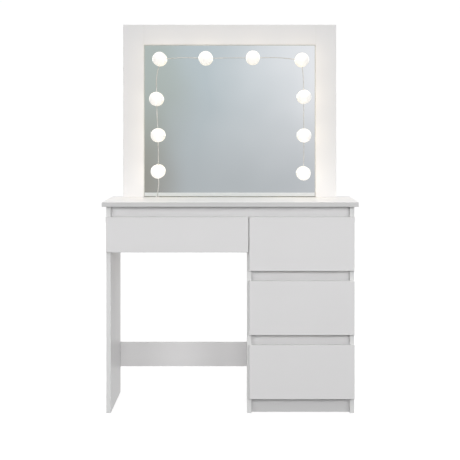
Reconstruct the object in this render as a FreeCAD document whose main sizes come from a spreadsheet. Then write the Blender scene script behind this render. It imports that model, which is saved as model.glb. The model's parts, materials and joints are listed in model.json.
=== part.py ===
import FreeCAD
import Part
import Sketcher
import math
import os
import re

# Vanity table of white laminated board, in millimetres, with a framed mirror and ten globe lights.
# X runs to the right, Y to the rear and Z up. The origin is on the floor, under the middle of the
# tabletop. The drawers slide out along -Y.

doc = FreeCAD.newDocument("vanity_table")
sheet = doc.addObject("Spreadsheet::Sheet", "dims")

DIMENSIONS = {
    # tabletop and boards
    "table_width": 900.0,
    "table_depth": 400.0,
    "table_height": 745.0,
    "board": 16.0,
    "edge_round": 0.8,
    "side_overhang": 13.0,
    "front_overhang": 12.0,
    "side_depth": 366.0,
    "hardboard": 3.0,
    # kneehole and pedestal
    "kneehole_width": 480.0,
    "stretcher_height": 92.0,
    "stretcher_level": 100.0,
    "rear_rail_height": 96.0,
    "plinth_height": 53.0,
    "plinth_setback": 22.0,
    "back_inset": 2.0,
    "rail_setback": 20.0,
    "rail_drop": 12.0,
    "rail_lap": 3.0,
    # drawer fronts
    "front_gap": 2.0,
    "top_grip_gap": 36.0,
    "grip_gap": 35.0,
    "pedestal_front_height": 190.0,
    "kneehole_front_height": 125.0,
    "front_overlay": 5.0,
    "front_seam": 3.0,
    # drawer boxes
    "runner_room": 13.0,
    "box_wall": 12.0,
    "box_depth": 310.0,
    "pedestal_box_height": 144.0,
    "kneehole_box_height": 88.0,
    "box_lift": 10.0,
    "lowest_box_lift": 24.0,
    "groove_level": 8.0,
    "groove_depth": 5.0,
    "groove_play": 0.2,
    "low_cam_share": 0.3,
    "high_cam_share": 0.75,
    # runners, folded from sheet steel
    "runner_length": 300.0,
    "runner_height": 36.0,
    "runner_sheet": 1.2,
    "runner_play": 0.5,
    "runner_level": 44.0,
    "runner_setback": 4.0,
    "flange_gap": 0.8,
    "drawer_channel_gap": 3.0,
    # cam locks
    "cam_radius": 7.4,
    "cam_bore": 7.6,
    "cam_length": 12.2,
    "small_cam_length": 9.2,
    "cam_edge": 34.0,
    "cam_sink": 0.3,
    # mirror, whose frame stands a little to the left of the table's middle
    "frame_shift": -5.0,
    "frame_width": 800.0,
    "frame_height": 648.0,
    "frame_member": 77.0,
    "frame_top_member": 75.0,
    "frame_front": 128.0,
    "frame_lip": 8.0,
    "rebate_width": 10.0,
    "glass": 4.0,
    "glass_play": 2.0,
    "glass_foot_gap": 3.5,
    "backing_play": 1.0,
    "batten_width": 680.0,
    "batten_height": 40.0,
    "batten_board": 10.0,
    "notch_place": -277.0,
    "notch_width": 14.0,
    "notch_height": 8.0,
    # brackets that hold the mirror on the tabletop
    "bracket_leg": 40.0,
    "bracket_width": 20.0,
    "bracket_sheet": 2.0,
    "bracket_offset": 370.0,
    "near_screw": 15.0,
    "far_screw": 31.0,
    "screw_head_radius": 3.6,
    "screw_head_height": 1.8,
    "screw_shank_radius": 1.7,
    "screw_shank_length": 12.0,
    # globe lights
    "globe_radius": 26.0,
    "globe_wall": 1.2,
    "neck_radius": 17.2,
    "neck_play": 0.3,
    "neck_rise": 1.0,
    "base_radius": 20.5,
    "base_height": 9.0,
    "base_wall": 2.0,
    "base_bevel": 1.0,
    "base_shoulder": 2.0,
    "led_radius": 17.0,
    "led_board": 1.6,
    "led_level": 6.0,
    "pad_radius": 17.0,
    "pad_sheet": 1.0,
    "wire_level": 4.5,
    "wire_diameter": 2.5,
    "wire_entry": 0.4,
    # supply lead put away behind the mirror
    "coil_radius": 14.0,
    "coil_thickness": 13.8,
    "coil_height": 5.2,
    "coil_bevel": 1.0,
    "coil_centre_x": -200.0,
    "coil_centre_y": 177.0,
    "plug_length": 24.0,
    "plug_width": 15.0,
    "plug_height": 7.5,
    "plug_rounding": 1.5,
    "plug_start_x": -142.0,
    "plug_centre_y": 172.0,
    "lying_gap": 0.1,
    "shell_length": 14.0,
    "shell_width": 12.0,
    "shell_height": 4.5,
}
for row, (alias, number) in enumerate(DIMENSIONS.items(), start=1):
    sheet.set(f"A{row}", alias)
    sheet.set(f"B{row}", str(number))
    sheet.setAlias(f"B{row}", alias)
doc.recompute()


def bound(text):
    """The expression with each spreadsheet alias written as a reference to the sheet."""
    return re.sub(r"[a-z_]+", lambda word: f"dims.{word[0]}" if word[0] in DIMENSIONS else word[0], text)


def value(text):
    """What an expression comes to, in millimetres."""
    found = sheet.evalExpression(bound(text))
    return float(getattr(found, "Value", found))


# Faces of the carcass, as expressions of the spreadsheet.
TOP_FACE = "table_height"
TOP_UNDERSIDE = "(table_height - board)"
TOP_LEFT = "(-table_width / 2)"
TOP_RIGHT = "(table_width / 2)"
TOP_FRONT = "(-table_depth / 2)"
TOP_REAR = "(table_depth / 2)"
LEFT = f"({TOP_LEFT} + side_overhang)"
RIGHT = f"({TOP_RIGHT} - side_overhang)"
LEG_INNER = f"({LEFT} + board)"
KNEE_RIGHT = f"({LEG_INNER} + kneehole_width)"
BAY_LEFT = f"({KNEE_RIGHT} + board)"
BAY_RIGHT = f"({RIGHT} - board)"
FRONT_FACE = f"({TOP_FRONT} + front_overhang)"
FRONT_REAR = f"({FRONT_FACE} + board)"
SIDE_FRONT = f"({FRONT_REAR} + front_gap)"
SIDE_REAR = f"({SIDE_FRONT} + side_depth)"
RAIL_FRONT = f"({SIDE_FRONT} + rail_setback)"
RAIL_REAR = f"({RAIL_FRONT} + board)"
GRIP_LEVEL = f"({TOP_UNDERSIDE} - top_grip_gap)"
TOP_RAIL_FOOT = f"({GRIP_LEVEL} - rail_drop)"

AXES = "xyz"
PLANES = {"x": "YZ_Plane", "y": "XZ_Plane", "z": "XY_Plane"}
FACE_AXES = {"x": (1, 2), "y": (0, 2), "z": (0, 1)}
parts = []


def keep(thing, label):
    """Registers a finished sub-part under the name of its file."""
    thing.Label = label
    parts.append(thing)
    return thing


def sketch_on(body, name, plane, offset="0"):
    sketch = body.newObject("Sketcher::SketchObject", name)
    origin_plane = next(f for f in body.Origin.OriginFeatures if f.Role == plane)
    sketch.AttachmentSupport = [(origin_plane, "")]
    sketch.MapMode = "FlatFace"
    sketch.setExpression("AttachmentOffset.Base.z", bound(offset))
    return sketch


def pin_point(sketch, curve, end, along, across):
    """Holds one point of a curve at the place that two expressions give."""
    for kind, text in (("DistanceX", along), ("DistanceY", across)):
        index = sketch.addConstraint(Sketcher.Constraint(kind, -1, 1, curve, end, value(text)))
        sketch.setExpression(f"Constraints[{index}]", bound(text))


def draw_outline(sketch, points):
    """A closed outline of straight lines through points given as pairs of expressions."""
    corners = [FreeCAD.Vector(value(a), value(b), 0) for a, b in points]
    first = sketch.GeometryCount
    count = len(corners)
    for i, corner in enumerate(corners):
        sketch.addGeometry(Part.LineSegment(corner, corners[(i + 1) % count]))
    for i in range(count):
        following = first + (i + 1) % count
        sketch.addConstraint(Sketcher.Constraint("Coincident", first + i, 2, following, 1))
    for i, (along, across) in enumerate(points):
        pin_point(sketch, first + i, 1, along, across)


def draw_rectangle(sketch, low, high):
    draw_outline(sketch, [(low[0], low[1]), (high[0], low[1]), (high[0], high[1]), (low[0], high[1])])


def draw_circle(sketch, centre, radius):
    middle = FreeCAD.Vector(value(centre[0]), value(centre[1]), 0)
    curve = sketch.addGeometry(Part.Circle(middle, FreeCAD.Vector(0, 0, 1), value(radius)))
    pin_point(sketch, curve, 3, *centre)
    index = sketch.addConstraint(Sketcher.Constraint("Radius", curve, value(radius)))
    sketch.setExpression(f"Constraints[{index}]", bound(radius))


def pad(body, sketch, length, backwards=False):
    feature = body.newObject("PartDesign::Pad", f"{sketch.Name}_pad")
    feature.Profile = sketch
    feature.setExpression("Length", bound(length))
    feature.Reversed = backwards
    doc.recompute()
    return feature


def round_edges(body, feature, radius):
    edges = [f"Edge{i}" for i in range(1, len(feature.Shape.Edges) + 1)]
    fillet = body.newObject("PartDesign::Fillet", f"{body.Name}_rounding")
    fillet.Base = (feature, edges)
    fillet.setExpression("Radius", bound(radius))
    doc.recompute()
    return fillet


def cut_into(body, sketch, depth, backwards):
    """A pocket, which has to take material away."""
    before = body.Shape.Volume
    pocket = body.newObject("PartDesign::Pocket", f"{sketch.Name}_pocket")
    pocket.Profile = sketch
    pocket.setExpression("Length", bound(depth))
    pocket.Reversed = backwards
    doc.recompute()
    if body.Shape.Volume > before - 1:
        raise ValueError(f"{sketch.Name} cuts nothing")


def board(label, thin, low, high, cams=(), slots=(), rounding="edge_round"):
    """A board between two corners, thin along one axis.

    cams are (face, centre) pairs for bored cam locks, and slots are (face, low, high, depth)
    rectangles: face is "low" or "high", the board's face towards the low or high end of its thin
    axis, and places are in the table's frame, along the board's other two axes.
    """
    across = AXES.index(thin)
    u, v = FACE_AXES[thin]
    turned = thin == "y"
    body = doc.addObject("PartDesign::Body", label)
    for axis, text in zip(AXES, low):
        body.setExpression(f"Placement.Base.{axis}", bound(text))
    thickness = f"({high[across]} - ({low[across]}))"

    def local(point):
        return f"{point[0]} - ({low[u]})", f"{point[1]} - ({low[v]})"

    outline = sketch_on(body, f"{label}_outline", PLANES[thin])
    draw_rectangle(outline, ("0", "0"), local((high[u], high[v])))
    blank = pad(body, outline, thickness, backwards=turned)
    round_edges(body, blank, rounding)
    for face in ("low", "high"):
        level = "0" if face == "low" else (f"-{thickness}" if turned else thickness)
        backwards = (face == "low") != turned
        centres = [centre for side, centre in cams if side == face]
        if centres:
            bores = sketch_on(body, f"{label}_{face}_bores", PLANES[thin], level)
            for centre in centres:
                draw_circle(bores, local(centre), "cam_bore")
            cut_into(body, bores, f"{cam_length_in(thickness)} + cam_sink", backwards)
        for i, (side, start, end, depth) in enumerate(slots):
            if side == face:
                slot = sketch_on(body, f"{label}_slot_{i}", PLANES[thin], level)
                draw_rectangle(slot, local(start), local(end))
                cut_into(body, slot, depth, backwards)
    return keep(body, label)


def cam_length_in(thickness):
    """The cam lock that fits a thickness: the short one in the thin walls of a drawer."""
    return "cam_length" if value(thickness) > value("box_wall") else "small_cam_length"


def cam_locks(label, cams):
    """One node of cam locks, each a disc sunk in its bore: (thin axis, face, low, high, centre)."""
    discs = []
    for thin, face, low, high, centre in cams:
        across = AXES.index(thin)
        u, v = FACE_AXES[thin]
        length = cam_length_in(f"{high[across]} - ({low[across]})")
        disc = doc.addObject("Part::Cylinder", f"{label}_disc")
        disc.setExpression("Radius", bound("cam_radius"))
        disc.setExpression("Height", bound(length))
        turn = {"x": ((0, 1, 0), 90), "y": ((1, 0, 0), -90), "z": ((0, 0, 1), 0)}[thin]
        disc.Placement.Rotation = FreeCAD.Rotation(FreeCAD.Vector(*turn[0]), turn[1])
        start = f"{low[across]} + cam_sink" if face == "low" else f"{high[across]} - cam_sink - {length}"
        places = {AXES[across]: start, AXES[u]: centre[0], AXES[v]: centre[1]}
        for axis, text in places.items():
            disc.setExpression(f"Placement.Base.{axis}", bound(text))
        discs.append(disc)
    group = doc.addObject("Part::Compound", label)
    group.Links = discs
    return keep(group, label)


def copies(label, master, placements):
    """One node of identical separate solids, each a copy of the master at its own place."""
    doc.recompute()
    group = doc.addObject("Part::Feature", label)
    group.Shape = Part.makeCompound([placed(master.Shape, place) for place in placements])
    return keep(group, label)


def placed(shape, place):
    copy = shape.copy()
    copy.Placement = place
    return copy


def prism(name, points, plane, length, backwards=False):
    """A body of one straight-sided profile."""
    body = doc.addObject("PartDesign::Body", name)
    sketch = sketch_on(body, f"{name}_profile", plane)
    draw_outline(sketch, points)
    pad(body, sketch, length, backwards)
    return body


# ---------------------------------------------------------------- carcass boards

carcass_cams = []


def carcass_board(label, thin, low, high, cams=(), slots=()):
    board(label, thin, low, high, cams, slots)
    carcass_cams.extend((thin, face, low, high, centre) for face, centre in cams)


def end_cams(face, left, right, level):
    """Two cam locks, one near each end of a cross board."""
    return [(face, (f"{left} + cam_edge", level)), (face, (f"{right} - cam_edge", level))]


board("tabletop", "z", (TOP_LEFT, TOP_FRONT, TOP_UNDERSIDE), (TOP_RIGHT, TOP_REAR, TOP_FACE))

UPRIGHT_CAM_LEVEL = f"({TOP_UNDERSIDE} - cam_edge)"
UPRIGHT_CAMS = (f"{SIDE_FRONT} + 2.5 * cam_edge", f"{SIDE_REAR} - 2 * cam_edge")
carcass_board(
    "left_leg_panel",
    "x",
    (LEFT, SIDE_FRONT, "0"),
    (LEG_INNER, SIDE_REAR, TOP_UNDERSIDE),
    cams=[("high", (place, UPRIGHT_CAM_LEVEL)) for place in UPRIGHT_CAMS],
)
carcass_board(
    "pedestal_left_panel",
    "x",
    (KNEE_RIGHT, SIDE_FRONT, "0"),
    (BAY_LEFT, SIDE_REAR, TOP_UNDERSIDE),
    cams=[("high", (place, UPRIGHT_CAM_LEVEL)) for place in UPRIGHT_CAMS],
    # the upper front corner is cut away, so that the top rail passes in one piece
    slots=[
        (
            "low",
            (f"{SIDE_FRONT} - 1", f"{TOP_RAIL_FOOT} - groove_play"),
            (f"{RAIL_REAR} + groove_play", f"{TOP_UNDERSIDE} + 1"),
            "board",
        )
    ],
)
carcass_board(
    "pedestal_right_panel",
    "x",
    (BAY_RIGHT, SIDE_FRONT, "0"),
    (RIGHT, SIDE_REAR, TOP_UNDERSIDE),
    cams=[("low", (place, UPRIGHT_CAM_LEVEL)) for place in UPRIGHT_CAMS],
)
carcass_board(
    "pedestal_bottom_panel",
    "z",
    (BAY_LEFT, SIDE_FRONT, "plinth_height"),
    (BAY_RIGHT, SIDE_REAR, "plinth_height + board"),
    cams=[
        ("low", (across, along))
        for across in (f"{BAY_LEFT} + cam_edge", f"{BAY_RIGHT} - cam_edge")
        for along in (f"{SIDE_FRONT} + 3 * cam_edge", f"{SIDE_REAR} - 2 * cam_edge")
    ],
)
carcass_board(
    "plinth_board",
    "y",
    (BAY_LEFT, f"({SIDE_FRONT} + plinth_setback)", "0"),
    (BAY_RIGHT, f"({SIDE_FRONT} + plinth_setback + board)", "plinth_height"),
    cams=end_cams("high", BAY_LEFT, BAY_RIGHT, "plinth_height / 2"),
)
board(
    "pedestal_back_panel",
    "y",
    (f"{KNEE_RIGHT} + back_inset", SIDE_REAR, "plinth_height + back_inset"),
    (f"{RIGHT} - back_inset", f"{SIDE_REAR} + hardboard", f"{TOP_UNDERSIDE} - back_inset"),
    rounding="edge_round / 4",
)
carcass_board(
    "kneehole_stretcher",
    "y",
    (LEG_INNER, f"({SIDE_REAR} - board)", "stretcher_level"),
    (KNEE_RIGHT, SIDE_REAR, "(stretcher_level + stretcher_height)"),
    cams=end_cams("high", LEG_INNER, KNEE_RIGHT, "stretcher_level + stretcher_height / 2"),
)
carcass_board(
    "kneehole_rear_rail",
    "y",
    (LEG_INNER, f"({SIDE_REAR} - board)", f"({TOP_UNDERSIDE} - rear_rail_height)"),
    (KNEE_RIGHT, SIDE_REAR, TOP_UNDERSIDE),
    cams=end_cams("high", LEG_INNER, KNEE_RIGHT, f"{TOP_UNDERSIDE} - rear_rail_height / 2"),
)
carcass_board(
    "top_front_rail",
    "y",
    (LEG_INNER, RAIL_FRONT, TOP_RAIL_FOOT),
    (BAY_RIGHT, RAIL_REAR, TOP_UNDERSIDE),
    cams=end_cams("high", LEG_INNER, BAY_RIGHT, f"({TOP_RAIL_FOOT} + {TOP_UNDERSIDE}) / 2"),
)


def pedestal_front_foot(place):
    """Level of the lower edge of a pedestal front, counted from 0 at the top."""
    return f"({GRIP_LEVEL} - pedestal_front_height - {place} * (pedestal_front_height + grip_gap))"


for label, place in (("pedestal_rail_upper", 0), ("pedestal_rail_lower", 1)):
    front_foot = pedestal_front_foot(place)
    foot = f"({front_foot} - grip_gap - rail_drop)"
    head = f"({front_foot} + rail_lap)"
    carcass_board(
        label,
        "y",
        (BAY_LEFT, RAIL_FRONT, foot),
        (BAY_RIGHT, RAIL_REAR, head),
        cams=end_cams("high", BAY_LEFT, BAY_RIGHT, f"({foot} + {head}) / 2"),
    )

# ---------------------------------------------------------------- runners

# Two folded channels, one inside the other. Both profiles are symmetrical about their own middle
# height, so the right-hand runners are the left-hand ones turned half round the Y axis.
HALF = "runner_height / 2"
INNER_HALF = f"({HALF} - runner_sheet - runner_play)"
WEB = "runner_sheet"
REACH = "(runner_room - flange_gap)"
BACK_EDGE = "drawer_channel_gap"

carcass_channel = prism(
    "carcass_channel",
    [
        ("0", f"-{HALF}"),
        (REACH, f"-{HALF}"),
        (REACH, f"-{HALF} + {WEB}"),
        (WEB, f"-{HALF} + {WEB}"),
        (WEB, f"{HALF} - {WEB}"),
        (REACH, f"{HALF} - {WEB}"),
        (REACH, HALF),
        ("0", HALF),
    ],
    "XZ_Plane",
    "runner_length",
    backwards=True,
)
drawer_channel = prism(
    "drawer_channel",
    [
        (BACK_EDGE, f"-{INNER_HALF}"),
        ("runner_room", f"-{INNER_HALF}"),
        ("runner_room", INNER_HALF),
        (BACK_EDGE, INNER_HALF),
        (BACK_EDGE, f"{INNER_HALF} - {WEB}"),
        (f"runner_room - {WEB}", f"{INNER_HALF} - {WEB}"),
        (f"runner_room - {WEB}", f"-{INNER_HALF} + {WEB}"),
        (BACK_EDGE, f"-{INNER_HALF} + {WEB}"),
    ],
    "XZ_Plane",
    "runner_length",
    backwards=True,
)


def runner_places(left, right, level):
    start = value(f"{SIDE_FRONT} + runner_setback")
    half_turn = FreeCAD.Rotation(FreeCAD.Vector(0, 1, 0), 180)
    return [
        FreeCAD.Placement(FreeCAD.Vector(value(left), start, value(level)), FreeCAD.Rotation()),
        FreeCAD.Placement(FreeCAD.Vector(value(right), start, value(level)), half_turn),
    ]


# ---------------------------------------------------------------- drawers

runner_spots = []


def drawer(name, bay, front_span, front_levels, box_foot, box_height):
    """A front, two sides, a back, a bottom in grooves, cam locks and two runner channels."""
    left = f"({bay[0]} + runner_room)"
    right = f"({bay[1]} - runner_room)"
    rear = f"({FRONT_REAR} + box_depth)"
    head = f"({box_foot} + {box_height})"
    groove_foot = f"({box_foot} + groove_level)"
    groove_head = f"({groove_foot} + hardboard + groove_play)"
    inner_left = f"({left} + box_wall)"
    inner_right = f"({right} - box_wall)"
    board(
        f"{name}_front",
        "y",
        (front_span[0], FRONT_FACE, front_levels[0]),
        (front_span[1], FRONT_REAR, front_levels[1]),
        slots=[
            (
                "high",
                (f"{inner_left} - groove_depth", groove_foot),
                (f"{inner_right} + groove_depth", groove_head),
                "groove_depth",
            )
        ],
    )
    cam_places = [
        (f"{FRONT_REAR} + cam_edge", f"{box_foot} + {box_height} * {share}")
        for share in ("low_cam_share", "high_cam_share")
    ]
    walls = (
        ("left_side", "high", left, inner_left),
        ("right_side", "low", inner_right, right),
    )
    cams = []
    for side, inner_face, low_x, high_x in walls:
        low = (low_x, FRONT_REAR, box_foot)
        high = (high_x, rear, head)
        board(
            f"{name}_{side}",
            "x",
            low,
            high,
            cams=[(inner_face, place) for place in cam_places],
            slots=[
                (
                    inner_face,
                    (f"{FRONT_REAR} - 1", groove_foot),
                    (f"{rear} + 1", groove_head),
                    "groove_depth",
                )
            ],
        )
        cams.extend(("x", inner_face, low, high, place) for place in cam_places)
    board(
        f"{name}_back",
        "y",
        (inner_left, f"({rear} - box_wall)", f"({groove_head} + groove_play)"),
        (inner_right, rear, head),
    )
    board(
        f"{name}_bottom",
        "z",
        (
            f"({inner_left} - groove_depth + groove_play)",
            f"({FRONT_REAR} - groove_depth + groove_play)",
            f"({groove_foot} + groove_play / 2)",
        ),
        (
            f"({inner_right} + groove_depth - groove_play)",
            rear,
            f"({groove_foot} + groove_play / 2 + hardboard)",
        ),
        rounding="edge_round / 4",
    )
    cam_locks(f"{name}_cam_locks", cams)
    spots = runner_places(bay[0], bay[1], f"{box_foot} + runner_level")
    copies(f"{name}_runners", drawer_channel, spots)
    runner_spots.extend(spots)


drawer(
    "kneehole_drawer",
    (LEG_INNER, KNEE_RIGHT),
    (LEFT, f"({KNEE_RIGHT} + front_overlay)"),
    (f"({GRIP_LEVEL} - kneehole_front_height)", GRIP_LEVEL),
    f"({GRIP_LEVEL} - kneehole_front_height + box_lift)",
    "kneehole_box_height",
)
for place, name in enumerate(("upper_drawer", "middle_drawer", "lower_drawer")):
    front_foot = pedestal_front_foot(place)
    lift = "lowest_box_lift" if name == "lower_drawer" else "box_lift"
    drawer(
        name,
        (BAY_LEFT, BAY_RIGHT),
        (f"({KNEE_RIGHT} + front_overlay + front_seam)", RIGHT),
        (front_foot, f"({front_foot} + pedestal_front_height)"),
        f"({front_foot} + {lift})",
        "pedestal_box_height",
    )
copies("runner_channels", carcass_channel, runner_spots)

# ---------------------------------------------------------------- mirror

FRAME_LEFT = "(frame_shift - frame_width / 2)"
FRAME_RIGHT = "(frame_shift + frame_width / 2)"
FRAME_HEAD = "(table_height + frame_height)"
FRAME_REAR = "(frame_front + board)"
OPENING_LEFT = f"({FRAME_LEFT} + frame_member)"
OPENING_RIGHT = f"({FRAME_RIGHT} - frame_member)"
OPENING_HEAD = f"({FRAME_HEAD} - frame_top_member)"
REBATE_HEAD = f"({OPENING_HEAD} + rebate_width)"
GLASS_FRONT = "(frame_front + frame_lip)"
GLASS_FOOT = "(table_height + glass_foot_gap)"
REBATE_DEPTH = "(board - frame_lip)"
REBATE_LEFT = f"({OPENING_LEFT} - rebate_width)"
REBATE_RIGHT = f"({OPENING_RIGHT} + rebate_width)"
GLASS_REAR = f"({GLASS_FRONT} + glass)"

board(
    "mirror_left_stile",
    "y",
    (FRAME_LEFT, "frame_front", TOP_FACE),
    (OPENING_LEFT, FRAME_REAR, FRAME_HEAD),
    slots=[
        (
            "high",
            (REBATE_LEFT, f"{TOP_FACE} - 1"),
            (f"{OPENING_LEFT} + 1", REBATE_HEAD),
            REBATE_DEPTH,
        )
    ],
)
board(
    "mirror_right_stile",
    "y",
    (OPENING_RIGHT, "frame_front", TOP_FACE),
    (FRAME_RIGHT, FRAME_REAR, FRAME_HEAD),
    slots=[
        (
            "high",
            (f"{OPENING_RIGHT} - 1", f"{TOP_FACE} - 1"),
            (REBATE_RIGHT, REBATE_HEAD),
            REBATE_DEPTH,
        )
    ],
)
carcass_board(
    "mirror_top_rail",
    "y",
    (OPENING_LEFT, "frame_front", OPENING_HEAD),
    (OPENING_RIGHT, FRAME_REAR, FRAME_HEAD),
    cams=end_cams("high", OPENING_LEFT, OPENING_RIGHT, f"{FRAME_HEAD} - cam_edge"),
    slots=[
        (
            "high",
            (f"{OPENING_LEFT} - 1", f"{OPENING_HEAD} - 1"),
            (f"{OPENING_RIGHT} + 1", REBATE_HEAD),
            REBATE_DEPTH,
        )
    ],
)
board(
    "mirror_glass",
    "y",
    (f"{REBATE_LEFT} + glass_play", GLASS_FRONT, GLASS_FOOT),
    (f"{REBATE_RIGHT} - glass_play", GLASS_REAR, f"{REBATE_HEAD} - glass_play"),
    rounding="edge_round / 2",
)
board(
    "mirror_backing",
    "y",
    (f"{REBATE_LEFT} + backing_play", GLASS_REAR, GLASS_FOOT),
    (f"{REBATE_RIGHT} - backing_play", f"{GLASS_REAR} + hardboard", f"{REBATE_HEAD} - backing_play"),
    rounding="edge_round / 4",
)
board(
    "mirror_bottom_batten",
    "y",
    ("(frame_shift - batten_width / 2)", FRAME_REAR, TOP_FACE),
    (
        "(frame_shift + batten_width / 2)",
        f"({FRAME_REAR} + batten_board)",
        "(table_height + batten_height)",
    ),
    # notch at the foot for the supply lead of the lights
    slots=[
        (
            "low",
            ("notch_place - notch_width / 2", f"{TOP_FACE} - 1"),
            ("notch_place + notch_width / 2", f"{TOP_FACE} + notch_height"),
            "batten_board",
        )
    ],
)
cam_locks("cam_locks", carcass_cams)

bracket = prism(
    "bracket",
    [
        ("0", "0"),
        ("bracket_leg", "0"),
        ("bracket_leg", "bracket_sheet"),
        ("bracket_sheet", "bracket_sheet"),
        ("bracket_sheet", "bracket_leg"),
        ("0", "bracket_leg"),
    ],
    "YZ_Plane",
    "bracket_width",
)
upright = FreeCAD.Rotation()
bracket_starts = [
    FreeCAD.Vector(value(f"{place} - bracket_width / 2"), value(FRAME_REAR), value(TOP_FACE))
    for place in ("frame_shift - bracket_offset", "frame_shift + bracket_offset")
]
copies("mirror_brackets", bracket, [FreeCAD.Placement(start, upright) for start in bracket_starts])

# Screws through each leg of the brackets: a flat round head on a short threaded shank.
screw_head = doc.addObject("Part::Cylinder", "screw_head")
screw_head.setExpression("Radius", bound("screw_head_radius"))
screw_head.setExpression("Height", bound("screw_head_height"))
screw_shank = doc.addObject("Part::Cylinder", "screw_shank")
screw_shank.setExpression("Radius", bound("screw_shank_radius"))
screw_shank.setExpression("Height", bound("screw_shank_length"))
screw_shank.setExpression("Placement.Base.z", bound("-screw_shank_length"))
screw = doc.addObject("Part::Fuse", "screw")
screw.Base = screw_head
screw.Tool = screw_shank
to_rear = FreeCAD.Rotation(FreeCAD.Vector(1, 0, 0), -90)
sheet_top = value("bracket_sheet")
screw_places = []
for start in bracket_starts:
    middle = start + FreeCAD.Vector(value("bracket_width") / 2, 0, 0)
    for reach in (value("near_screw"), value("far_screw")):
        on_the_top = middle + FreeCAD.Vector(0, reach, sheet_top)
        on_the_stile = middle + FreeCAD.Vector(0, sheet_top, reach)
        screw_places.append(FreeCAD.Placement(on_the_top, upright))
        screw_places.append(FreeCAD.Placement(on_the_stile, to_rear))
copies("bracket_screws", screw, screw_places)

# ---------------------------------------------------------------- globe lights

# Middle of each light on the glass, (x, z), along the string from its far end to the supply lead.
LIGHTS = [
    (272, 835),
    (274, 977),
    (274, 1122),
    (266, 1261),
    (82, 1269),
    (-95, 1267),
    (-268, 1264),
    (-280, 1114),
    (-274, 978),
    (-274, 842),
]
glass_front = value(GLASS_FRONT)
to_front = FreeCAD.Rotation(FreeCAD.Vector(1, 0, 0), 90)
light_places = [FreeCAD.Placement(FreeCAD.Vector(x, glass_front, z), to_front) for x, z in LIGHTS]


def turned(name, points):
    """A body turned from a profile of (radius, level) points about its own Z axis."""
    body = doc.addObject("PartDesign::Body", name)
    sketch = sketch_on(body, f"{name}_profile", "XZ_Plane")
    draw_outline(sketch, points)
    turning = body.newObject("PartDesign::Revolution", f"{name}_turning")
    turning.Profile = sketch
    turning.ReferenceAxis = (sketch, ["V_Axis"])
    turning.Angle = 360
    return body


def disc_profile(radius, foot, head):
    return [("0", foot), (radius, foot), (radius, head), ("0", head)]


light_pad = turned("light_pad", disc_profile("pad_radius", "0", "pad_sheet"))
light_base = turned(
    "light_base",
    [
        ("0", "pad_sheet"),
        ("base_radius - base_bevel", "pad_sheet"),
        ("base_radius", "pad_sheet + base_bevel"),
        ("base_radius", "base_height - base_shoulder"),
        ("base_radius - base_bevel", "base_height"),
        ("neck_radius + neck_play", "base_height"),
        ("neck_radius + neck_play", "led_level"),
        ("neck_radius - base_wall", "led_level"),
        ("neck_radius - base_wall", "pad_sheet + base_wall"),
        ("0", "pad_sheet + base_wall"),
    ],
)
led_disc = turned("led_disc", disc_profile("led_radius", "led_level", "led_level + led_board"))

# The globe is a ball on a short neck, hollowed by a smaller ball and neck.
NECK_FOOT = "(led_level + led_board + neck_play)"
NECK_HEAD = "(base_height + neck_rise)"
GLOBE_LEVEL = f"({NECK_HEAD} + sqrt(globe_radius * globe_radius - neck_radius * neck_radius))"


def ball_on_neck(name, inset):
    """A ball joined to its neck, both smaller all round by the inset."""
    ball = doc.addObject("Part::Sphere", f"{name}_ball")
    ball.setExpression("Radius", bound(f"globe_radius - {inset}"))
    ball.setExpression("Placement.Base.z", bound(GLOBE_LEVEL))
    neck = doc.addObject("Part::Cylinder", f"{name}_neck")
    neck.setExpression("Radius", bound(f"neck_radius - {inset}"))
    neck.setExpression("Height", bound(f"{GLOBE_LEVEL} - {NECK_FOOT}"))
    neck.setExpression("Placement.Base.z", bound(NECK_FOOT))
    whole = doc.addObject("Part::Fuse", name)
    whole.Base = ball
    whole.Tool = neck
    return whole


globe_skirt = doc.addObject("Part::Box", "globe_skirt")
for side in ("Length", "Width"):
    globe_skirt.setExpression(side, bound("3 * globe_radius"))
globe_skirt.setExpression("Height", bound("globe_radius"))
for axis in "xy":
    globe_skirt.setExpression(f"Placement.Base.{axis}", bound("-1.5 * globe_radius"))
globe_skirt.setExpression("Placement.Base.z", bound(f"{NECK_FOOT} - globe_radius"))
globe_solid = ball_on_neck("globe_solid", "0")
globe_hollow = ball_on_neck("globe_hollow", "globe_wall")
globe_open = doc.addObject("Part::Cut", "globe_open")
globe_open.Base = globe_solid
globe_open.Tool = globe_hollow
globe = doc.addObject("Part::Cut", "globe")
globe.Base = globe_open
globe.Tool = globe_skirt

copies("light_adhesive_pads", light_pad, light_places)
copies("light_bases", light_base, light_places)
copies("light_led_boards", led_disc, light_places)
copies("light_globes", globe, light_places)

# ---------------------------------------------------------------- wires

wire_radius = value("wire_diameter / 2")
wire_plane = value(f"{GLASS_FRONT} - wire_level")


def tube(path, radius):
    """A round solid swept along a wire of straight runs and tangent arcs, checked by its volume."""
    start = path.OrderedEdges[0]
    first = start.valueAt(start.FirstParameter)
    heading = start.tangentAt(start.FirstParameter)
    ring = Part.Wire(Part.makeCircle(radius, first, heading))
    solid = path.makePipeShell([ring], True, True)
    expected = math.pi * radius**2 * path.Length
    if abs(solid.Volume / expected - 1) > 0.02:
        raise ValueError(f"a tube has the volume {solid.Volume:.0f}, not {expected:.0f}")
    return solid


# Each span of the string bows a little to one side: (x, z) of the bow at the middle of the span.
BOWS = [(0.8, 0), (-0.8, 0), (2, 0), (0, 4.5), (0, 0.8), (0, 4), (-6, 0), (-0.8, 0), (0.8, 0)]


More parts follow.
